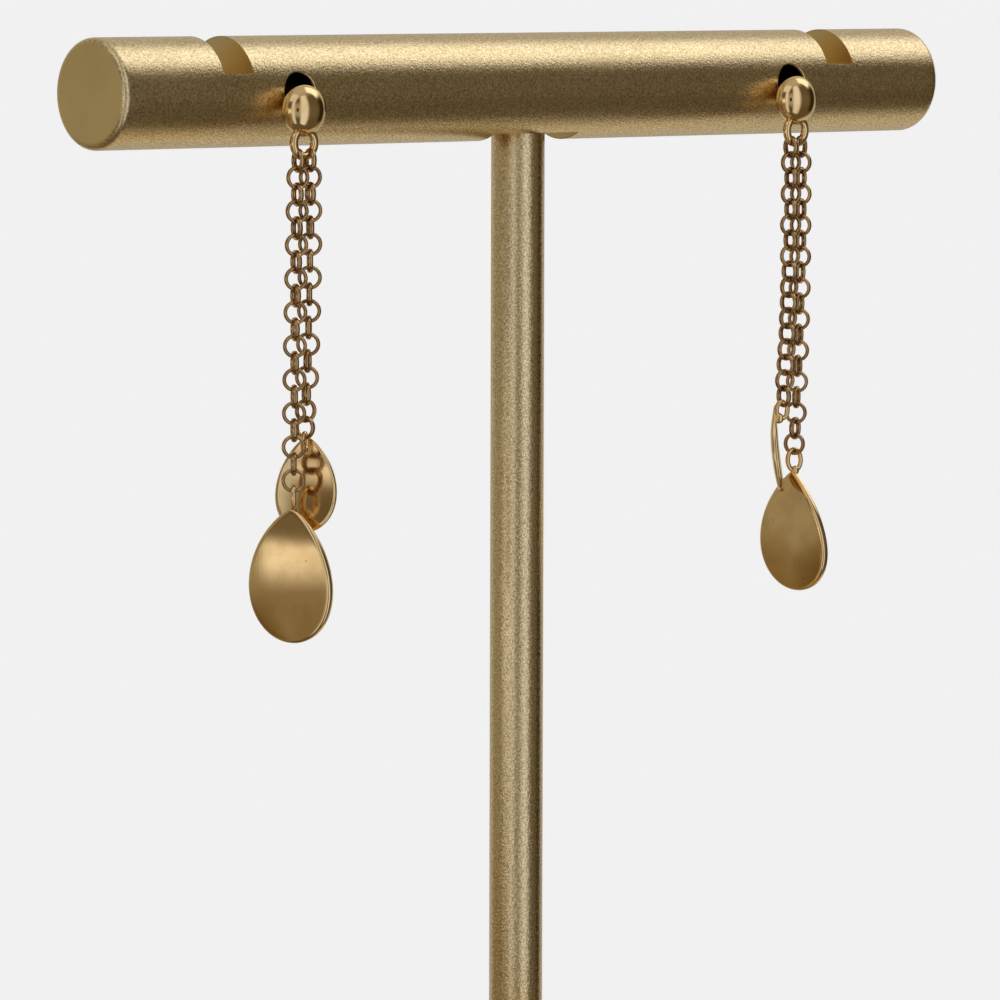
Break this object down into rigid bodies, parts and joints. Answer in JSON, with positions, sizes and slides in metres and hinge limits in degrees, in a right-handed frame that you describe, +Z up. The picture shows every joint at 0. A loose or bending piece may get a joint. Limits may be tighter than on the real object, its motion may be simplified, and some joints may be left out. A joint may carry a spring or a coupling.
{
  "type": "dangle earring pair on a t-bar display stand",
  "caption": "Double-chain dangle earrings with bead studs and curved teardrop plates that swing, hung through the cross holes of a plain round T-bar display stand.",
  "frame": {"origin": "middle of the underside of the stand's base", "axes": "+Z up the stem, +X along the bar, -Y towards the side where the beads sit"},
  "size_m": [0.1222, 0.066, 0.13],
  "materials": {
    "satin_stand": "bead-blasted satin, champagne gold",
    "polished_gold": "polished yellow gold"
  },
  "bodies": {
    "stand": {"stand_base": "satin_stand", "stand_stem": "satin_stand", "stand_bar": "satin_stand", "left_stud": "polished_gold", "left_long_chain": "polished_gold", "left_short_chain": "polished_gold", "right_stud": "polished_gold", "right_long_chain": "polished_gold", "right_short_chain": "polished_gold"},
    "left_large": {"left_large_drop": "polished_gold"},
    "left_small": {"left_small_drop": "polished_gold"},
    "right_large": {"right_large_drop": "polished_gold"},
    "right_small": {"right_small_drop": "polished_gold"}
  },
  "joints": [
    {"name": "left_large_swing", "type": "hinge", "parent": "stand", "child": "left_large", "pos_m": [-0.03941, -0.00771, 0.08124], "axis": [-0.766, 0.6428, 0], "range_deg": [-5, 60]},
    {"name": "left_small_swing", "type": "hinge", "parent": "stand", "child": "left_small", "pos_m": [-0.03731, -0.00705, 0.08684], "axis": [0.5, -0.866, 0], "range_deg": [0, 45]},
    {"name": "right_large_swing", "type": "hinge", "parent": "stand", "child": "right_large", "pos_m": [0.03654, -0.00719, 0.08139], "axis": [-0.1392, -0.9903, 0], "range_deg": [0, 60]},
    {"name": "right_small_swing", "type": "hinge", "parent": "stand", "child": "right_small", "pos_m": [0.03353, -0.00845, 0.08709], "axis": [0.7071, 0.7071, 0], "range_deg": [0, 45]}
  ]
}
